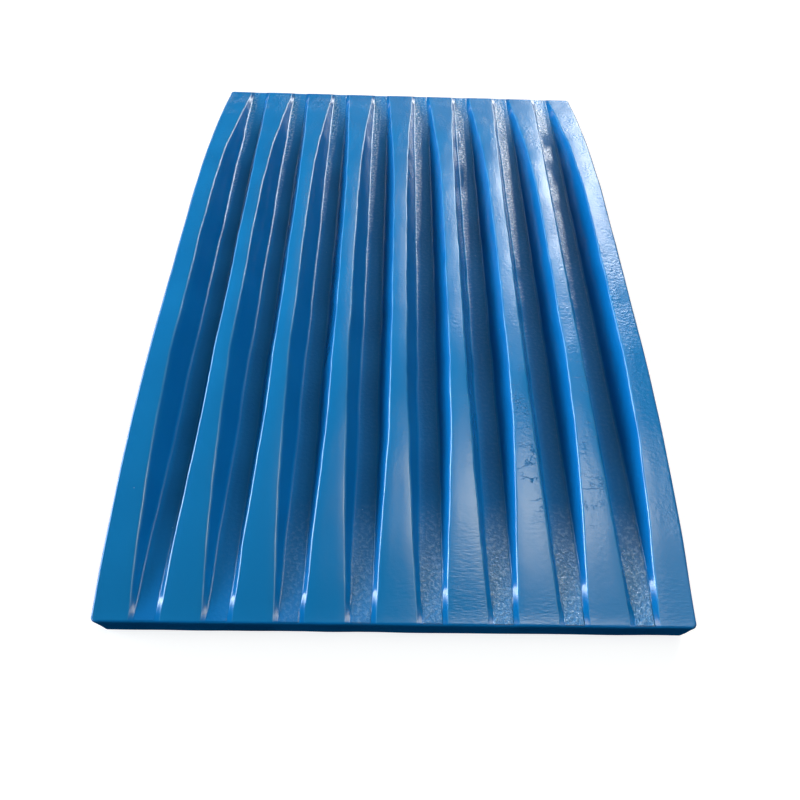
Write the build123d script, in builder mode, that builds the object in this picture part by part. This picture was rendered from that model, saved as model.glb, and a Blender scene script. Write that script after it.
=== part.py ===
"""Crusher jaw plate: one manganese steel casting that lines the jaw of a stone crusher.

A flat slab carries straight teeth along its length. Every tooth has plane flanks and a crest that is level
in the middle and bends down in an arc to the slab's face near each end, so a crest is narrow where it is
high and broad where it runs out. The back is relieved between the bands on which the plate seats.

The plate lies on its back: X is across the teeth, Y along them and Z up through the thickness, with the
origin at the centre of the back face. All sizes are in millimetres and degrees.
"""

import os
from math import asin, cos, radians, tan

from build123d import *

# Slab
plate_width = 600.0
plate_length = 900.0
base_thickness = 36.0
corner_radius = 6.0
rim_radius = 3.0
back_edge_chamfer = 2.0

# Teeth, and the grooves between them
tooth_height = 36.0
groove_count = 8
crest_width = 18.7
edge_crest_width = 26.9
flank_angle = 20.5
crest_flat_length = 220.0
end_land = 10.0
crest_edge_bevel = 2.5
root_radius = 5.0

# Relief in the back, between the seating bands
relief_count = 3
relief_depth = 8.0
relief_corner_radius = 30.0
relief_draft = 15.0
edge_band_width = 60.0
cross_band_width = 60.0

# Sizes that follow from these
crest_level = base_thickness + tooth_height
crest_run = (plate_length - crest_flat_length) / 2 - end_land
crest_radius = (crest_run**2 + tooth_height**2) / (2 * tooth_height)
flank_run = tooth_height * tan(radians(flank_angle))
inner_foot_width = crest_width + 2 * flank_run
outer_foot_width = 2 * (edge_crest_width + flank_run)
groove_floor_width = (plate_width - outer_foot_width - (groove_count - 1) * inner_foot_width) / groove_count
groove_pitch = inner_foot_width + groove_floor_width
relief_width = plate_width - 2 * edge_band_width
relief_pitch = (plate_length - 2 * edge_band_width + cross_band_width) / relief_count
relief_length = relief_pitch - cross_band_width


def tooth(foot_width):
    """One tooth with bevelled crest edges, reaching down to the back of the slab that it stands in."""
    back_half = foot_width / 2 + base_thickness * tan(radians(flank_angle))
    crest_half = foot_width / 2 - flank_run
    half_length = plate_length / 2
    half_flat = crest_flat_length / 2
    arc_angle = asin((half_length - half_flat) / crest_radius)
    end_level = crest_level - crest_radius * (1 - cos(arc_angle))
    with BuildPart() as body:
        # Across the tooth: two leaning flanks
        with BuildSketch(Plane.XZ):
            with BuildLine():
                Polyline((-crest_half, crest_level), (-back_half, 0), (back_half, 0), (crest_half, crest_level))
                Line((crest_half, crest_level), (-crest_half, crest_level))
            make_face()
        extrude(amount=half_length, both=True)

        # Along the tooth: a level crest that bends down in an arc to each end
        with BuildSketch(Plane.YZ):
            with BuildLine():
                Polyline((-half_length, end_level), (-half_length, 0), (half_length, 0), (half_length, end_level))
                RadiusArc((half_length, end_level), (half_flat, crest_level), -crest_radius)
                Line((half_flat, crest_level), (-half_flat, crest_level))
                RadiusArc((-half_flat, crest_level), (-half_length, end_level), -crest_radius)
            make_face()
        extrude(amount=plate_width, both=True, mode=Mode.INTERSECT)

        crest_edges = body.edges().filter_by(Axis.X, reverse=True)
        chamfer(crest_edges.filter_by_position(Axis.Z, base_thickness, crest_level), crest_edge_bevel)
    return body.part


inner_tooth = tooth(inner_foot_width)
outer_tooth = tooth(outer_foot_width)

with BuildPart() as jaw_plate:
    # Slab with its teeth, larger than the plate, whose sides cut the outer teeth along their middles
    with BuildSketch():
        Rectangle(plate_width + 2 * outer_foot_width, plate_length + 2 * end_land)
    extrude(amount=base_thickness)
    with GridLocations(groove_pitch, 0, groove_count - 1, 1):
        add(inner_tooth)
    with GridLocations(plate_width, 0, 2, 1):
        add(outer_tooth)

    # Rounded roots, all round the foot of each tooth
    groove_floor = jaw_plate.faces().filter_by(Axis.Z).sort_by(Axis.Z)[1]
    fillet(groove_floor.inner_wires().edges(), root_radius)

    # Outline of the plate, with a rounded rim and a bevel round the back
    with BuildSketch():
        RectangleRounded(plate_width, plate_length, corner_radius)
    extrude(amount=crest_level, mode=Mode.INTERSECT)
    walls = jaw_plate.faces().filter_by(Axis.X) + jaw_plate.faces().filter_by(Axis.Y)
    rim = walls.edges().filter_by(Axis.Z, reverse=True)
    fillet(rim.filter_by_position(Axis.Z, base_thickness / 2, crest_level), rim_radius)
    chamfer(jaw_plate.faces().sort_by(Axis.Z)[0].outer_wire().edges(), back_edge_chamfer)

    # Relief between the seating bands
    with BuildSketch():
        with GridLocations(0, relief_pitch, 1, relief_count):
            RectangleRounded(relief_width, relief_length, relief_corner_radius)
    extrude(amount=relief_depth, taper=relief_draft, mode=Mode.SUBTRACT)

jaw_plate.part.label = "jaw_plate"
os.makedirs("parts", exist_ok=True)
export_step(jaw_plate.part, "parts/jaw_plate.step")
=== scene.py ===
"""Looks of the crusher jaw plate: its cast surface as one closed mesh, its blue paint, lights and camera.

Lengths are millimetres, as on a drawing, and turn to metres where a mesh or the camera is made. In the paint,
places on the plate and heights of bumps are metres.
X is across the teeth, Y along them, away from the camera, and Z up from the back on which the plate lies.
"""

from math import cos, pi, radians, sin, sqrt, tan

import bpy
import numpy as np
from mathutils import Matrix, Vector
from mathutils.geometry import tessellate_polygon


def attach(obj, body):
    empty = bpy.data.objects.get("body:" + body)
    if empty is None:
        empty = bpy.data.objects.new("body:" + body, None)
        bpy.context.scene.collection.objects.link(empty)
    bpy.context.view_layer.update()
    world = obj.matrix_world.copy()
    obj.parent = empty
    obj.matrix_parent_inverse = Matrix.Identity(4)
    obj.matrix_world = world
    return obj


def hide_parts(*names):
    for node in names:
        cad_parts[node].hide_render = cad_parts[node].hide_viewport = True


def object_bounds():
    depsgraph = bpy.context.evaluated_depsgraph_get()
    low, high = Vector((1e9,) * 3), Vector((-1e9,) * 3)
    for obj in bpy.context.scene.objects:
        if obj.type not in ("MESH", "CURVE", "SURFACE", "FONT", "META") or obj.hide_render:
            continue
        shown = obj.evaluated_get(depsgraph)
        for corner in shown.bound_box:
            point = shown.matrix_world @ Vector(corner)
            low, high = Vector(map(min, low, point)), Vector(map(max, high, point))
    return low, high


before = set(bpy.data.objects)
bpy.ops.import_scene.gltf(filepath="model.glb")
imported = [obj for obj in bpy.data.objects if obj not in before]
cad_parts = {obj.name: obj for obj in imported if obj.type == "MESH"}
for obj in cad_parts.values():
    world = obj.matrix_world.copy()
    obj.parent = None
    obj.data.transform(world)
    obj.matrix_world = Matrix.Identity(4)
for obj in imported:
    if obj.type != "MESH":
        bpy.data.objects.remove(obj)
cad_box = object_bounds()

MM = 0.001

# The plate's outer sizes, from the CAD part's box, and its other sizes, as in the CAD part
WIDTH, LENGTH, TOP = (round((high - low) / MM, 3) for low, high in zip(*cad_box))
BASE = 36.0
TOOTH_HEIGHT = TOP - BASE
GROOVES = 8
CREST_WIDTH, EDGE_CREST_WIDTH = 18.7, 26.9
FLANK = radians(20.5)
CREST_FLAT = 220.0
END_LAND = 10.0
CORNER, RIM, BACK_BEVEL = 6.0, 3.0, 2.0
RELIEFS, RELIEF_DEPTH, RELIEF_CORNER = 3, 8.0, 30.0
BAND = 60.0

# Sizes that follow from these
FLANK_RUN = TOOTH_HEIGHT * tan(FLANK)
FOOT = CREST_WIDTH + 2 * FLANK_RUN
EDGE_FOOT = EDGE_CREST_WIDTH + FLANK_RUN
GROOVE_FLOOR = (WIDTH - 2 * EDGE_FOOT - (GROOVES - 1) * FOOT) / GROOVES
PITCH = FOOT + GROOVE_FLOOR
ARC_RUN = (LENGTH - CREST_FLAT) / 2 - END_LAND
ARC_RADIUS = (ARC_RUN**2 + TOOTH_HEIGHT**2) / (2 * TOOTH_HEIGHT)

# Roundings of roots and crest edges, fall of a crest towards its edges, and dish of a groove floor
ROOT_RADIUS, CREST_RADIUS = 3.4, 2.4
ROUNDING_MARGIN = 1.2
CROWN, CROWN_REACH = 0.28, 9.35
DISH, DISH_REACH = 0.5, 0.6

# Unevenness of the casting: how far long and short waves move its points across and up, how far the face, the
# crests and the sides sink on average, and how much the last two vary
ACROSS_LONG, ACROSS_SHORT = 0.30, 0.10
UP_LONG, UP_SHORT = 0.10, 0.015
FACE_SINK, CREST_SINK, SIDE_SINK = 0.3, 0.3, 0.3
SINK_SPREAD = 0.15
SIDE_SWELL = 0.3

# Ends of the teeth: where a crest meets the groove floors, at the near end a little sooner from tooth to
# tooth, how softly it does, how much the flanks widen where a tooth is low, and the height under which its
# section only gets flatter
NEAR_TIP, NEAR_TIP_STEP, FAR_TIP = 449.0, 0.4, 447.0
TIP_BLEND = 1.4
TIP_RUN, TIP_RISE = 6.0, 9.0
LEAST_HEIGHT = 2.4

# Rows of points along the teeth: steps on a crest's arc and at its tip, where the tip's rows start and end,
# how many there are on the level part, and how far the last ones are from the rim
ROW_STEP, TIP_ROW_STEP = 6.0, 3.0
TIP_ROWS_START, TIP_ROWS_END = 386.0, 440.0
LEVEL_ROWS = 35
FROM_RIM = np.array([0.0, 1.0, 2.0, 3.0, 4.5, 6.0, 7.0])

# Points across half a groove: on its floor, root, flank, crest edge and crest, and the gap beside a rounding
STRETCHES = (5, 6, 4, 6, 7)
GAP = 0.5

# What the paint needs to know of each point: how far it is groove floor, crest edge and crest, how high the
# tooth beside it is, and its place across the groove, from -1 at the left root to 1 at the right one
MARKS = ("groove", "brow", "crest", "depth", "across")

# A relief's wall from its mouth to its floor: growth of the relief's outline, and depth
RELIEF_WALL = ((0.9, 0.0), (0.25, 0.25), (-0.1, 1.0), (-1.7, 6.3), (-2.4, 7.5), (-3.6, RELIEF_DEPTH))


def ripple(seed, shortest, longest, *coords):
    """A smooth random field of unit spread about zero, made of plane waves of these lengths."""
    rng = np.random.default_rng(seed)
    waves = 26
    total = np.zeros(np.shape(coords[0]))
    for _ in range(waves):
        way = rng.normal(size=len(coords))
        way *= 2 * pi / (np.linalg.norm(way) * shortest * (longest / shortest) ** rng.random())
        total += np.sin(sum(c * w for c, w in zip(coords, way)) + rng.uniform(0, 2 * pi))
    return total * sqrt(2 / waves)


def held_ripple(*settings):
    """Such a field, held between -2 and 2."""
    return np.clip(ripple(*settings), -2, 2)


def crest_height(y, near_tip, far_tip):
    """Height of a tooth over the groove floors, where its crest comes down to them at these distances."""
    stretch = ARC_RUN / (np.where(y < 0, near_tip, far_tip) - CREST_FLAT / 2)
    run = np.maximum(np.abs(y) - CREST_FLAT / 2, 0) * stretch
    plain = TOOTH_HEIGHT - ARC_RADIUS + np.sqrt(ARC_RADIUS**2 - run**2)
    return (plain + np.sqrt(plain**2 + TIP_BLEND**2)) / 2


def tooth_heights(y):
    """Each tooth's height at these rows, with the uneven sag of a cast crest."""
    heights = []
    for tooth in range(GROOVES + 1):
        plain = crest_height(y, NEAR_TIP - NEAR_TIP_STEP * tooth, FAR_TIP)
        sag = CREST_SINK - SINK_SPREAD * held_ripple(100 + tooth, 90, 300, y)
        heights.append(np.maximum(plain - np.minimum(sag, 0.1 * plain), 0))
    return heights


def by_stretch(*values):
    """One mark across half a groove, from its values on the floor, root, flank, crest edge and crest."""
    return np.concatenate([np.broadcast_to(value, count) for value, count in zip(values, STRETCHES)])


def half_section(height, reach):
    """Half a groove, from its middle to the middle of a tooth: distances, heights and marks.

    height is the tooth's height at each row, and reach the distance between the two middles."""
    on_floor, on_root, on_flank, on_edge, on_crest = (np.linspace(0, 1, count) for count in STRETCHES)
    on_flank = np.linspace(0, 1, len(on_flank) + 2)[1:-1]
    h = np.maximum(height, LEAST_HEIGHT)[:, None]
    extra = TIP_RUN * np.exp(-((h / TIP_RISE) ** 2))
    run = h * tan(FLANK) + extra
    lean = np.arctan2(h, run)

    # The roundings shrink where the tooth is too low for them
    needed = ROUNDING_MARGIN * (ROOT_RADIUS + CREST_RADIUS) * (1 - np.cos(lean))
    share = np.minimum(h / needed, 1)
    root, edge = ROOT_RADIUS * share, CREST_RADIUS * share
    rim = h - CROWN * share
    foot = GROOVE_FLOOR / 2 - extra / 2 - root * np.tan(lean / 2)
    brow = GROOVE_FLOOR / 2 - extra / 2 + run * rim / h + edge * np.tan(lean / 2)

    floor_d = (foot - GAP) * on_floor
    turn = lean * on_root
    root_d, root_z = foot + root * np.sin(turn), root * (1 - np.cos(turn))
    turn = lean * (1 - on_edge)
    edge_d, edge_z = brow - edge * np.sin(turn), rim - edge * (1 - np.cos(turn))
    flank_d = root_d[:, -1:] + (edge_d[:, :1] - root_d[:, -1:]) * on_flank
    flank_z = root_z[:, -1:] + (edge_z[:, :1] - root_z[:, -1:]) * on_flank
    crest_d = brow + GAP + (reach - brow - GAP) * on_crest
    crest_z = h - CROWN * share * np.clip(1 - (crest_d - brow) / CROWN_REACH, 0, 1) ** 2
    d = np.hstack([floor_d, root_d, flank_d, edge_d, crest_d])
    z = np.hstack([0 * floor_d, root_z, flank_z, edge_z, crest_z])

    across = np.clip(d / (GROOVE_FLOOR / 2), 0, 1)
    z = z + DISH * share * across**2 * (1 - np.clip(z / (DISH_REACH * h), 0, 1))
    groove = by_stretch(1, 1 - on_root, 0, 0, 0)
    brow_mark = by_stretch(0, 0, 0, np.sin(0.3 + (pi - 0.6) * on_edge), 0)
    crest = by_stretch(0, 0, 0, on_edge, 1)
    depth = np.clip(h / TOOTH_HEIGHT, 0, 1)
    marks = np.stack([mark + 0 * d for mark in (groove, brow_mark, crest, depth, across)], axis=2)
    return d, z * (np.maximum(height, 0)[:, None] / h), marks


def rows():
    """Y of the rows of the toothed face, closer together near both ends."""
    half_flat = CREST_FLAT / 2
    arc = np.arange(half_flat, TIP_ROWS_START, ROW_STEP)
    tip = np.arange(TIP_ROWS_START, TIP_ROWS_END, TIP_ROW_STEP)
    upper = np.sort(np.concatenate([arc, tip, LENGTH / 2 - RIM - FROM_RIM]))
    level = np.linspace(ROW_STEP - half_flat, half_flat - ROW_STEP, LEVEL_ROWS)
    return np.concatenate([-upper[::-1], level, upper])


def face_grid():
    """The toothed face, from rim to rim: points (rows, columns, 3) and their marks (rows, columns, 5)."""
    y = rows()
    heights = tooth_heights(y)
    corner = CORNER - RIM
    edge_reach = GROOVE_FLOOR / 2 + EDGE_FOOT - RIM
    corner_columns = edge_reach - corner * np.array([2, 1, 0]) / 3

    # Groove after groove, first its left half and then its right one; neighbours share a column
    xs, zs, marks = [], [], []
    for k in range(GROOVES):
        middle = (k - (GROOVES - 1) / 2) * PITCH
        for way, tooth in ((-1, k), (1, k + 1)):
            outer = tooth in (0, GROOVES)
            d, z, mark = half_section(heights[tooth], edge_reach - corner if outer else PITCH / 2)
            mark[:, :, MARKS.index("across")] *= way
            if outer:
                d = np.hstack([d, corner_columns + 0 * d[:, :1]])
                z, mark = (np.hstack([a] + len(corner_columns) * [a[:, -1:]]) for a in (z, mark))
            if way < 0:
                shared = 0 if outer else 1
                d, z, mark = (a[:, ::-1][:, shared:] for a in (d, z, mark))
            else:
                d, z, mark = (a[:, 1:] for a in (d, z, mark))
            xs.append(middle + way * d)
            zs.append(z)
            marks.append(mark)
    x, z, marks = (np.hstack(a) for a in (xs, zs, marks))
    y = np.repeat(y[:, None], x.shape[1], axis=1)
    z = z + BASE

    # The casting is nowhere quite straight or level
    away = np.clip((WIDTH / 2 - RIM - np.abs(x)) / 14, 0, 1)
    long_wave, short_wave = ripple(1, 50, 240, x / 3, y, z), ripple(2, 12, 40, x / 3, y, z)
    x = x + away * (ACROSS_LONG * long_wave + ACROSS_SHORT * short_wave)
    z = z - FACE_SINK + UP_LONG * held_ripple(3, 60, 250, x, y) + UP_SHORT * held_ripple(4, 10, 30, x, y)

    # Rounded corners of the outline
    s = np.clip(1 - (WIDTH / 2 - RIM - np.abs(x)) / corner, 0, 1)
    t = np.clip(1 - (LENGTH / 2 - RIM - np.abs(y)) / corner, 0, 1)
    in_corner = (s > 0) & (t > 0)
    bent_s, bent_t = s * np.sqrt(1 - t**2 / 2), t * np.sqrt(1 - s**2 / 2)
    x = np.where(in_corner, np.sign(x) * (WIDTH / 2 - CORNER + corner * bent_s), x)
    y = np.where(in_corner, np.sign(y) * (LENGTH / 2 - CORNER + corner * bent_t), y)
    return np.stack([x, y, z], axis=2), marks


def rounded_rectangle(width, length, corner, middle_y, steps=8):
    """Points of a rectangle with round corners, anticlockwise seen from above."""
    points = []
    for sx, sy, start in ((1, -1, -90), (1, 1, 0), (-1, 1, 90), (-1, -1, 180)):
        for step in range(steps + 1):
            turn = radians(start + 90 * step / steps)
            points.append((sx * (width / 2 - corner) + corner * cos(turn),
                           middle_y + sy * (length / 2 - corner) + corner * sin(turn)))
    return np.array(points)


class Skin:
    """Points and faces of the plate's closed surface, with the marks on each point."""

    def __init__(self):
        self.points, self.faces, self.marks = [], [], []
        self.glossy_faces = 0

    def add(self, points, marks=(0.0,) * len(MARKS)):
        """Adds points and gives their numbers."""
        start = len(self.points)
        points = np.asarray(points).reshape(-1, 3)
        self.points.extend(map(tuple, points))
        self.marks.append(np.broadcast_to(marks, (len(points), len(MARKS))))
        return list(range(start, start + len(points)))

    def band(self, upper, lower):
        """Faces between two rings of as many points, that stand one under the other and run anticlockwise."""
        for i in range(len(upper)):
            j = (i + 1) % len(upper)
            self.faces.append((upper[i], lower[i], lower[j], upper[j]))


def add_face(skin):
    """The toothed face; gives the ring of points round it."""
    grid, marks = face_grid()
    count_y, count_x = grid.shape[:2]
    index = np.array(skin.add(grid, marks.reshape(-1, len(MARKS)))).reshape(count_y, count_x)
    for r in range(count_y - 1):
        for c in range(count_x - 1):
            skin.faces.append((index[r, c], index[r, c + 1], index[r + 1, c + 1], index[r + 1, c]))
    return [*index[0, :], *index[1:, -1], *index[-1, -2::-1], *index[-2:0:-1, 0]]


def add_sides(skin, ring):
    """Round rim, sides and bevel at the back, ring under ring; gives the ring on the back."""
    top = np.array([skin.points[i] for i in ring])
    inner = np.array([WIDTH / 2 - CORNER, LENGTH / 2 - CORNER])
    out = top[:, :2] - np.clip(top[:, :2], -inner, inner)
    out /= np.linalg.norm(out, axis=1)[:, None]
    hollow = SIDE_SINK + SINK_SPREAD * held_ripple(5, 40, 260, top[:, 0], top[:, 1])
    ones = np.ones(len(ring))

    def hang(ring, push, z):
        lower = skin.add(np.column_stack([top[:, :2] + out * push[:, None], z]))
        skin.band(ring, lower)
        return lower

    # The gloss ends half-way round the rim
    for step, turn in enumerate(np.linspace(0, pi / 2, 5)[1:]):
        ring = hang(ring, (RIM - hollow) * sin(turn), top[:, 2] - RIM * (1 - cos(turn)))
        if step == 1:
            skin.glossy_faces = len(skin.faces)
    for part in (0.33, 0.66, 1.0):
        swell = np.clip(ripple(6, 25, 120, top[:, 0], top[:, 1], 200 * part * ones), -1, 1)
        swell = SIDE_SWELL * swell * (part < 1)
        z = (top[:, 2] - RIM) * (1 - part) + BACK_BEVEL * part
        ring = hang(ring, RIM - hollow + np.minimum(swell, hollow), z)
    return hang(ring, RIM - hollow - BACK_BEVEL, 0 * ones)


def add_back(skin, outline):
    """The seating bands inside this outline, and the reliefs between them."""
    loops = [outline]
    pitch = (LENGTH - BAND) / RELIEFS
    width, length = WIDTH - 2 * BAND, pitch - BAND
    for k in range(RELIEFS):
        middle = (k - (RELIEFS - 1) / 2) * pitch
        rings = []
        for grow, depth in RELIEF_WALL:
            loop = rounded_rectangle(width + 2 * grow, length + 2 * grow, RELIEF_CORNER + grow, middle)
            rings.append(skin.add(np.column_stack([loop, np.full(len(loop), depth)])))
        loops.append(rings[0])
        for lower, upper in zip(rings, rings[1:]):
            skin.band(lower, upper)
        skin.faces.append(tuple(rings[-1][::-1]))

    # The bands are one flat face with holes, in triangles that look down
    flat = [[Vector(skin.points[i]) for i in loop] for loop in loops]
    order = [i for loop in loops for i in loop]
    for a, b, c in tessellate_polygon(flat):
        pa, pb, pc = (np.array(skin.points[order[i]]) for i in (a, b, c))
        up = (pb[0] - pa[0]) * (pc[1] - pa[1]) - (pb[1] - pa[1]) * (pc[0] - pa[0])
        skin.faces.append((order[a], order[c], order[b]) if up > 0 else (order[a], order[b], order[c]))


def plate():
    """The plate as one object, with what its paint needs to know stored on its points."""
    skin = Skin()
    add_back(skin, add_sides(skin, add_face(skin)))
    mesh = bpy.data.meshes.new("jaw_plate_skin")
    mesh.from_pydata([[c * MM for c in p] for p in skin.points], [], skin.faces)
    x, y, z = np.array(skin.points).T
    fields = dict(zip(MARKS, np.vstack(skin.marks).T))
    fields["cloud"] = ripple(7, 60, 250, x, y, z)
    fields["patch"] = ripple(8, 12, 60, x, y / 2.5, z)
    for name, values in fields.items():
        stored = mesh.attributes.new(name, "FLOAT", "POINT")
        stored.data.foreach_set("value", np.array(values, dtype=np.float32))
    matte = np.arange(len(skin.faces)) >= skin.glossy_faces
    mesh.polygons.foreach_set("material_index", matte.astype(np.int32))
    mesh.shade_smooth()
    mesh.set_sharp_from_angle(angle=radians(40))
    piece = bpy.data.objects.new("jaw_plate_skin", mesh)
    bpy.context.collection.objects.link(piece)
    even = piece.modifiers.new("even shading", "WEIGHTED_NORMAL")
    even.keep_sharp = True
    return piece


class Nodes:
    """Short calls for making the nodes of a material or the world."""

    def __init__(self, tree):
        self.tree = tree

    def fill(self, socket, value):
        """Links an output to this input, or sets the input to a plain value."""
        if isinstance(value, bpy.types.NodeSocket):
            self.tree.links.new(value, socket)
        else:
            socket.default_value = value

    def node(self, kind, inputs=None, **settings):
        made = self.tree.nodes.new(kind)
        for name, value in settings.items():
            setattr(made, name, value)
        for name, value in (inputs or {}).items():
            self.fill(made.inputs[name], value)
        return made

    def math(self, operation, a, b=0.0, clamp=False):
        return self.node("ShaderNodeMath", {0: a, 1: b}, operation=operation, use_clamp=clamp).outputs[0]

    def vector(self, operation, a, b):
        return self.node("ShaderNodeVectorMath", {0: a, 1: b}, operation=operation).outputs

    def noise(self, where, scale, detail=2.0, rough=0.5):
        inputs = {"Vector": where, "Scale": scale, "Detail": detail, "Roughness": rough}
        return self.node("ShaderNodeTexNoise", inputs).outputs["Fac"]

    def spread(self, value, low, high, to_low=0.0, to_high=1.0):
        """The value's way from low to high, and not past them, turned to the way from to_low to to_high."""
        inputs = {"Value": value, "From Min": low, "From Max": high, "To Min": to_low, "To Max": to_high}
        return self.node("ShaderNodeMapRange", inputs).outputs["Result"]

    def blend(self, factor, low, high):
        """A colour between two."""
        made = self.node("ShaderNodeMix", {"Factor": factor}, data_type="RGBA")
        for name, value in (("A", low), ("B", high)):
            self.fill(next(s for s in made.inputs if s.name == name and s.type == "RGBA"), value)
        return next(s for s in made.outputs if s.type == "RGBA")

    def product(self, *factors):
        total = factors[0]
        for factor in factors[1:]:
            total = self.math("MULTIPLY", total, factor)
        return total

    def mark(self, name):
        """A number stored on the mesh's points."""
        return self.node("ShaderNodeAttribute", attribute_name=name).outputs["Fac"]


# Colours of the paint, as pairs where they vary from cloud to cloud
FLANK_BLUE = (0.0015, 0.139, 0.395, 1), (0.0025, 0.156, 0.430, 1)
CREST_BLUE = (0.0070, 0.196, 0.486, 1), (0.0085, 0.219, 0.528, 1)
# Painted shade: a dark blue for the groove floors between tall teeth
GROOVE_SHADE_BLUE = (0.0020, 0.095, 0.268, 1), (0.0040, 0.113, 0.310, 1)
SIDE_BLUE = (0.0020, 0.125, 0.335, 1), (0.0012, 0.092, 0.260, 1)
# Painted shade: a darker crest blue for the near ends of the crests, which lean away from the light behind
NEAR_CREST_SHADE_BLUE = (0.0060, 0.170, 0.405, 1)
# Painted reflection: a lighter blue for the groove floors at the near end, in place of their sheen
FLOOR_SHEEN_BLUE = (0.120, 0.300, 0.480, 1)
# Painted highlight: pale blue flecks that stand in for glints on the shining lumps
GLINT_BLUE = (0.200, 0.440, 0.690, 1)
# Painted highlight: a pale blue for the bright lines along the crest edges and roots
HIGHLIGHT_BLUE = (0.070, 0.330, 0.620, 1)
CRACK_BLUE = (0.001, 0.050, 0.130, 1)
GRAIN_BLUE = (0.250, 0.450, 0.650, 1)

# Heights of the paint's bumps in metres, as pairs where they vary
LUMP_HEIGHT = 0.00035, 0.00200
HAMMER_HEIGHT = 0.00008, 0.00075
WRINKLE_HEIGHT = 0.00020
GRAIN_HEIGHT = 0.0003
FAULT_DEPTH = 0.00012
SIDE_BUMP_HEIGHT = 0.0002, 0.0007


def enamel(name):
    """A new material with a Principled shader: the material, its nodes, object coordinates and the shader."""
    material = bpy.data.materials.new(name)
    material.use_nodes = True
    n = Nodes(material.node_tree)
    where = n.node("ShaderNodeTexCoord").outputs["Object"]
    return material, n, where, material.node_tree.nodes["Principled BSDF"]


def add_bump(n, shader, height):
    bump = n.node("ShaderNodeBump", {"Height": height, "Strength": 1.0, "Distance": 1.0})
    n.fill(shader.inputs["Normal"], bump.outputs["Normal"])


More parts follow.
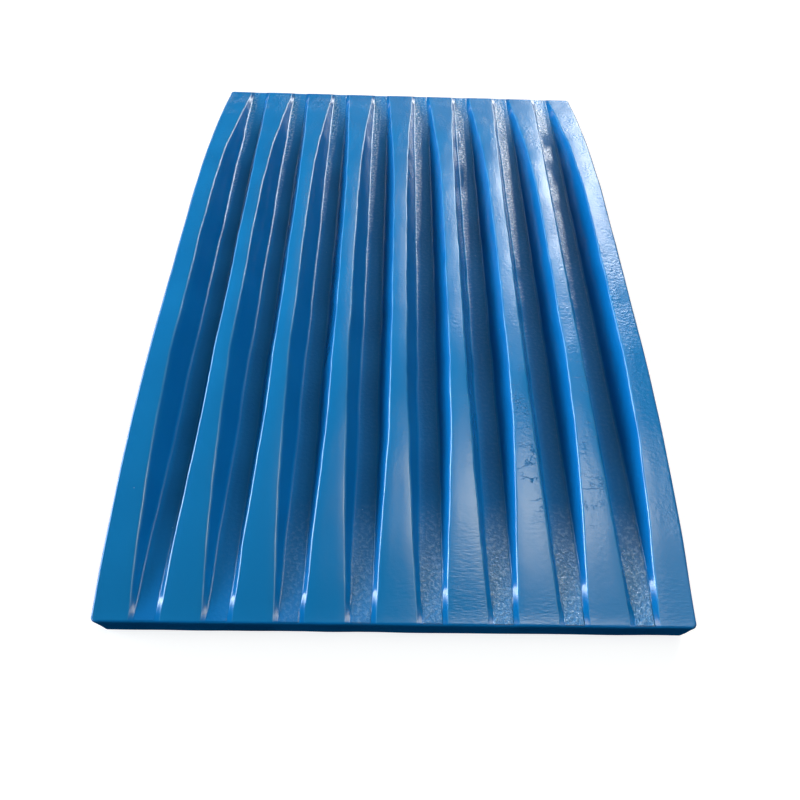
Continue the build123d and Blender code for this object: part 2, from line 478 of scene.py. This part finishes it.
def face_paint():
    """Glossy blue enamel on the toothed face, over the skin that the sand mould left."""
    material, n, where, shader = enamel("blue_enamel")
    place = n.node("ShaderNodeSeparateXYZ", {"Vector": where}).outputs
    x, y = place["X"], place["Y"]
    groove, brow, crest, depth, across = (n.mark(name) for name in MARKS)
    cloud, patch = n.spread(n.mark("cloud"), -1.5, 1.5), n.mark("patch")
    far = n.spread(y, 0.20, 0.42)
    skew = n.math("ADD", y, n.product(x, 0.4))

    # Colour: full on the flanks and paler on the crests, with painted shade that darkens the near ends of the
    # crests and the floors deep in the grooves
    # Painted shade: the crests turn darker towards their near end
    crest_blue = n.blend(n.spread(y, -0.05, -0.45), n.blend(cloud, *CREST_BLUE), NEAR_CREST_SHADE_BLUE)
    pale = n.math("MAXIMUM", crest, n.product(groove, far))
    # Painted shade: dark on the groove floors where the teeth beside them are tall, less near the left root
    # and at the far end
    painted_groove_shade = n.product(groove, n.spread(depth, 0.05, 0.6), n.spread(across, -0.9, -0.3, 0.1, 1.0),
                     n.spread(far, 0.0, 1.0, 1.0, 0.2))
    base = n.blend(painted_groove_shade, n.blend(pale, n.blend(cloud, *FLANK_BLUE), crest_blue), n.blend(cloud, *GROOVE_SHADE_BLUE))

    # The groove floors are dull but for their ends and a strip on the left, broader towards the far right
    reach = n.math("ADD", n.product(x, 1.3), n.product(y, 2.0))
    left = n.spread(n.math("SUBTRACT", across, reach), -0.50, -0.92)
    strip = n.product(left, n.spread(patch, -1.9, -0.1), n.spread(skew, -0.15, 0.30))
    rightward = n.spread(n.math("ADD", x, n.product(y, 0.15)), -0.25, 0.05)
    ends = n.product(n.spread(depth, 0.62, 0.28, 0.05, 1.0), rightward, n.spread(far, 0.0, 1.0, 1.0, 0.45))
    shine = n.math("MAXIMUM", ends, strip)
    dull = n.product(n.spread(groove, 0.85, 1.0), n.math("SUBTRACT", 1.0, shine))

    # Lumps in the grooves, with painted glints on their tops where they shine, and a hammered look on the
    # crests of the right half
    lumps = n.noise(where, 250.0, 2.0, 0.6)
    lumpy = n.product(groove, n.spread(shine, 0.0, 1.0, *LUMP_HEIGHT), n.spread(strip, 0.0, 1.0, 1.0, 0.5))
    hammered = n.product(crest, n.spread(patch, -1.0, 1.0, 0.35, 1.0),
                         n.spread(skew, -0.35, 0.15, *HAMMER_HEIGHT))
    height = n.product(lumps, n.math("ADD", lumpy, hammered))
    # Painted reflection: the shining groove floors at the near end are made lighter, in place of the sheen of
    # the light overhead
    painted_floor_sheen = n.product(groove, ends, n.spread(y, -0.20, -0.40), 0.35)
    base = n.blend(painted_floor_sheen, base, FLOOR_SHEEN_BLUE)
    # Painted glints: pale paint on the tops of the lumps where the floors shine
    painted_glint = n.product(groove, shine, n.spread(lumps, 0.48, 0.66))
    base = n.blend(n.product(painted_glint, n.spread(skew, -0.3, 0.3, 0.46, 0.80)), base, GLINT_BLUE)

    # Painted highlights: bright broken lines along the edges of the crests and along the roots on the left of
    # the grooves
    root = n.product(groove, n.math("SUBTRACT", 1.0, groove), 4.0, n.spread(across, -0.5, -0.9),
                     n.spread(skew, -0.30, 0.05))
    painted_highlight = n.product(n.math("MAXIMUM", brow, root), n.spread(patch, -1.2, 0.8, 0.25, 1.0))
    base = n.blend(n.product(painted_highlight, 0.5), base, HIGHLIGHT_BLUE)

    # Wrinkles across the crests at the near end
    wrinkled = n.product(crest, n.spread(y, -0.30, -0.38), n.spread(x, -0.05, 0.05),
                         n.spread(cloud, 0.3, 0.7))
    wrinkles = n.noise(n.vector("MULTIPLY", where, (130.0, 420.0, 130.0))["Vector"], 1.0, 2.0)
    height = n.math("ADD", height, n.product(wrinkles, wrinkled, WRINKLE_HEIGHT))

    # Short jagged cracks and pits on three crests, and grains that stuck in the wet paint
    stray = n.math("MULTIPLY", n.noise(where, 150.0, 2.0), 0.6)
    bent = n.vector("ADD", n.vector("MULTIPLY", where, (15.0, 50.0, 15.0))["Vector"], stray)["Vector"]
    cells = n.node("ShaderNodeTexVoronoi", {"Vector": bent, "Scale": 1.0}, feature="DISTANCE_TO_EDGE")
    crack = n.product(n.spread(cells.outputs["Distance"], 0.016, 0.005), n.spread(patch, -0.6, 0.8))
    spots = n.node("ShaderNodeTexVoronoi", {"Vector": where, "Scale": 85.0}).outputs
    kind = n.node("ShaderNodeSeparateColor", {"Color": spots["Color"]}).outputs
    dot = n.spread(spots["Distance"], 0.055, 0.025)
    pit = n.product(dot, n.math("GREATER_THAN", kind[0], 0.8))
    grain = n.product(dot, n.math("GREATER_THAN", kind[1], 0.93))
    aged = n.product(crest, n.spread(x, 0.03, 0.08), n.spread(x, 0.27, 0.22),
                     n.spread(y, -0.08, -0.14), n.spread(y, -0.37, -0.31))
    fault = n.product(n.math("MAXIMUM", crack, pit), aged)
    base = n.blend(n.product(fault, 0.45), base, CRACK_BLUE)
    base = n.blend(n.product(grain, 0.5), base, GRAIN_BLUE)
    marred = n.math("SUBTRACT", n.product(grain, GRAIN_HEIGHT), n.product(fault, FAULT_DEPTH))
    height = n.math("ADD", height, marred)

    # Gloss: a little uneven, little where the paint is dull, and most on the painted highlight lines and
    # painted glints
    dull = n.math("MAXIMUM", dull, fault)
    roughness = n.math("ADD", n.spread(patch, -2.0, 2.0, 0.12, 0.17), n.product(dull, 0.42))
    bright = n.product(n.math("MAXIMUM", painted_highlight, painted_glint), 0.5)
    n.fill(shader.inputs["Base Color"], base)
    n.fill(shader.inputs["Roughness"], roughness)
    n.fill(shader.inputs["Specular IOR Level"], n.math("ADD", n.spread(dull, 0.0, 1.0, 0.5, 0.07), bright))
    add_bump(n, shader, height)
    return material


def side_paint():
    """The same blue on the sides and the back: a thin matte coat on rough cast skin."""
    material, n, where, shader = enamel("blue_enamel_side")
    stain = n.spread(n.noise(where, 14.0, 4.0), 0.35, 0.68)
    n.fill(shader.inputs["Base Color"], n.blend(stain, *SIDE_BLUE))
    n.fill(shader.inputs["Roughness"], n.spread(stain, 0.0, 1.0, 0.55, 0.75))
    shader.inputs["Specular IOR Level"].default_value = 0.0
    rough = n.spread(n.noise(where, 18.0, 2.0), 0.35, 0.65, *SIDE_BUMP_HEIGHT)
    add_bump(n, shader, n.product(n.noise(where, 240.0, 3.0, 0.6), rough))
    return material


# The floor: half its side in metres, how far it lies under the plate, its grey for the light that it throws
# back and for what is seen of it, and the glow that makes it white
FLOOR_HALF, FLOOR_DROP = 30.0, 0.2
FLOOR_GREYS = (0.1, 0.1, 0.1, 1), (0.4, 0.4, 0.4, 1)
FLOOR_GLOW = 0.76


def white_floor():
    """A floor that shows as white where it is lit and keeps the plate's shadow, and throws little light back.

    It is open under the plate, so that the plate's back can be seen from below."""
    corners = ((-1, -1), (1, -1), (1, 1), (-1, 1))
    half_x, half_y = (WIDTH / 2 - CORNER) * MM, (LENGTH / 2 - CORNER) * MM
    outer = [(FLOOR_HALF * sx, FLOOR_HALF * sy, -FLOOR_DROP * MM) for sx, sy in corners]
    inner = [(half_x * sx, half_y * sy, -FLOOR_DROP * MM) for sx, sy in corners]
    mesh = bpy.data.meshes.new("floor")
    mesh.from_pydata(outer + inner, [], [(k, (k + 1) % 4, (k + 1) % 4 + 4, k + 4) for k in range(4)])
    floor = bpy.data.objects.new("floor", mesh)
    bpy.context.collection.objects.link(floor)
    material = bpy.data.materials.new("floor_white")
    material.use_nodes = True
    material.node_tree.nodes.clear()
    n = Nodes(material.node_tree)
    path = n.node("ShaderNodeLightPath").outputs
    seen = n.math("ADD", path["Is Camera Ray"], path["Is Glossy Ray"])
    seen = n.math("ADD", seen, path["Is Transmission Ray"], clamp=True)
    lit = n.node("ShaderNodeBsdfDiffuse", {"Color": n.blend(seen, *FLOOR_GREYS)})
    glow = n.node("ShaderNodeEmission", {"Color": (1, 1, 1, 1), "Strength": n.product(seen, FLOOR_GLOW)})
    both = n.node("ShaderNodeAddShader", {0: lit.outputs[0], 1: glow.outputs[0]})
    n.node("ShaderNodeOutputMaterial", {"Surface": both.outputs[0]})
    mesh.materials.append(material)


# Soft lights round the plate: azimuth (0 is ahead of the camera, 90 to its right), elevation, half the width
# and half the height, all in degrees, then brightness and colour
WINDOWS = (
    (-87, 13, 15, 10, 14.6, (0.78, 0.93, 1.08)),
    (-66, 14, 11, 9, 7.5, (0.82, 0.95, 1.06)),
    (13, 41, 7, 7, 4.2, (0.97, 0.98, 0.99)),
    (22.5, 34.5, 4.5, 5.5, 12.5, (0.97, 0.98, 0.99)),
    (22, 16, 4.7, 9, 10.0, (0.97, 0.98, 0.99)),
    (5, 11, 7, 8, 0.4, (0.97, 0.98, 0.99)),
    (62, 75, 8, 7, 7.5, (1.00, 0.90, 0.70)),
    (115, 48, 9, 8, 3.5, (0.80, 0.93, 1.08)),
    (0, -90, 60, 60, 1.0, (1.00, 1.00, 1.00)),
)
DIM = (0.025, 0.030, 0.035)


def lights():
    """A dim hall with soft bright windows; the camera sees it as white."""
    world = bpy.data.worlds.new("hall")
    bpy.context.scene.world = world
    world.use_nodes = True
    n = Nodes(world.node_tree)
    way = n.node("ShaderNodeTexCoord").outputs["Generated"]

    def along(axis):
        return n.vector("DOT_PRODUCT", way, axis)["Value"]

    total = DIM
    for azimuth, elevation, wide, high, brightness, colour in WINDOWS:
        a, e = radians(azimuth), radians(elevation)
        middle = Vector((sin(a) * cos(e), cos(a) * cos(e), sin(e)))
        side = Vector((cos(a), -sin(a), 0))
        up = middle.cross(side)
        across = n.math("POWER", along(side / radians(wide)), 2.0)
        height = n.math("POWER", along(up / radians(high)), 2.0)
        fall = n.math("EXPONENT", n.math("MULTIPLY", n.math("ADD", across, height), -0.5))
        lit = n.math("MULTIPLY", fall, n.math("GREATER_THAN", along(middle), 0.0))
        window = n.vector("MULTIPLY", lit, brightness * Vector(colour))["Vector"]
        total = n.vector("ADD", window, total)["Vector"]
    seen = n.node("ShaderNodeLightPath").outputs["Is Camera Ray"]
    n.fill(world.node_tree.nodes["Background"].inputs["Color"], n.blend(seen, total, (1, 1, 1, 1)))
    bpy.context.scene.view_settings.view_transform = "Standard"


# The camera: its place, how far it looks down, turns and tilts, in degrees, and its sensor and lens
CAMERA_PLACE = (-11.43, -574.34, 652.86)
LOOK_DOWN, TURN, TILT = 57.94373, -1.99825, -2.71866
SENSOR, LENS = 36.0, 27.0


def camera():
    """The view of the photograph: a pinhole fitted to the plate's straight edges."""
    look_down, turn, tilt = radians(LOOK_DOWN), radians(TURN), radians(TILT)
    side = Vector((cos(turn), sin(turn), 0))
    ahead = Vector((-sin(turn), cos(turn), 0)) * cos(look_down) + Vector((0, 0, -sin(look_down)))
    down = ahead.cross(side)
    right = side * cos(tilt) + down * sin(tilt)
    under = down * cos(tilt) - side * sin(tilt)
    data = bpy.data.cameras.new("camera")
    data.sensor_width, data.lens = SENSOR, LENS
    data.clip_start, data.clip_end = 0.05, 50.0
    view = bpy.data.objects.new("camera", data)
    place = Matrix((right, -under, -ahead)).transposed().to_4x4()
    place.translation = Vector(CAMERA_PLACE) * MM
    view.matrix_world = place
    bpy.context.collection.objects.link(view)
    bpy.context.scene.camera = view


piece = plate()
piece.data.materials.append(face_paint())
piece.data.materials.append(side_paint())
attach(piece, "root")
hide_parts("jaw_plate")
white_floor()
lights()
camera()
